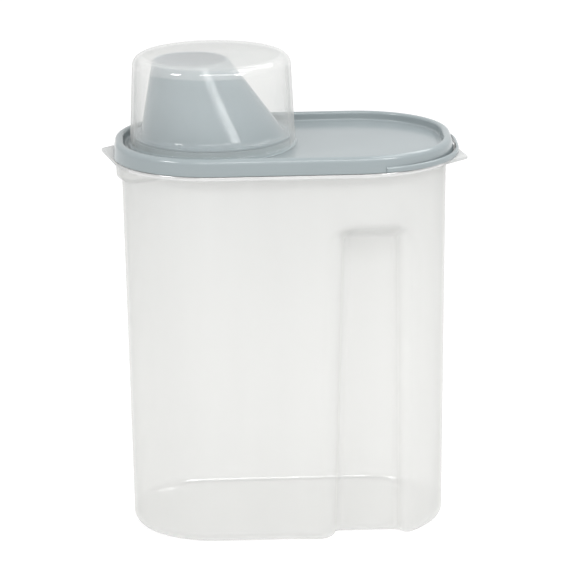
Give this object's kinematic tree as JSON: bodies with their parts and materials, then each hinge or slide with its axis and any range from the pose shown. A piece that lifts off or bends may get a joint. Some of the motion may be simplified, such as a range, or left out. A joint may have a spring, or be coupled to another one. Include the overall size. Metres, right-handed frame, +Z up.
{
  "type": "dry food keeper with pour spout",
  "caption": "Tall translucent oval-ended food keeper with finger grip, press-on lid with leaning pour spout, and a clear measuring cup over the spout.",
  "frame": {"origin": "under the middle of the keeper, on the plane its base stands on", "axes": "+Z up, +X along the length towards the end away from the spout, -Y towards the side with the finger grip"},
  "size_m": [0.201, 0.1238, 0.2656],
  "materials": {
    "container": "translucent polypropylene, natural, with a fine satin outer face",
    "lid": "blue-grey polypropylene, satin gloss",
    "pour_spout": "blue-grey polypropylene, satin gloss",
    "measuring_cup": "clear plastic with a faint haze, polished"
  },
  "bodies": {
    "container": {"container": "container"},
    "lid": {"lid": "lid", "pour_spout": "pour_spout"},
    "cup": {"measuring_cup": "measuring_cup"}
  },
  "joints": [
    {"name": "lid_lift", "type": "slide", "parent": "container", "child": "lid", "axis": [0, 0, 1], "range_m": [0, 0.04]},
    {"name": "cup_lift", "type": "slide", "parent": "lid", "child": "cup", "axis": [0, 0, 1], "range_m": [0, 0.07]}
  ]
}
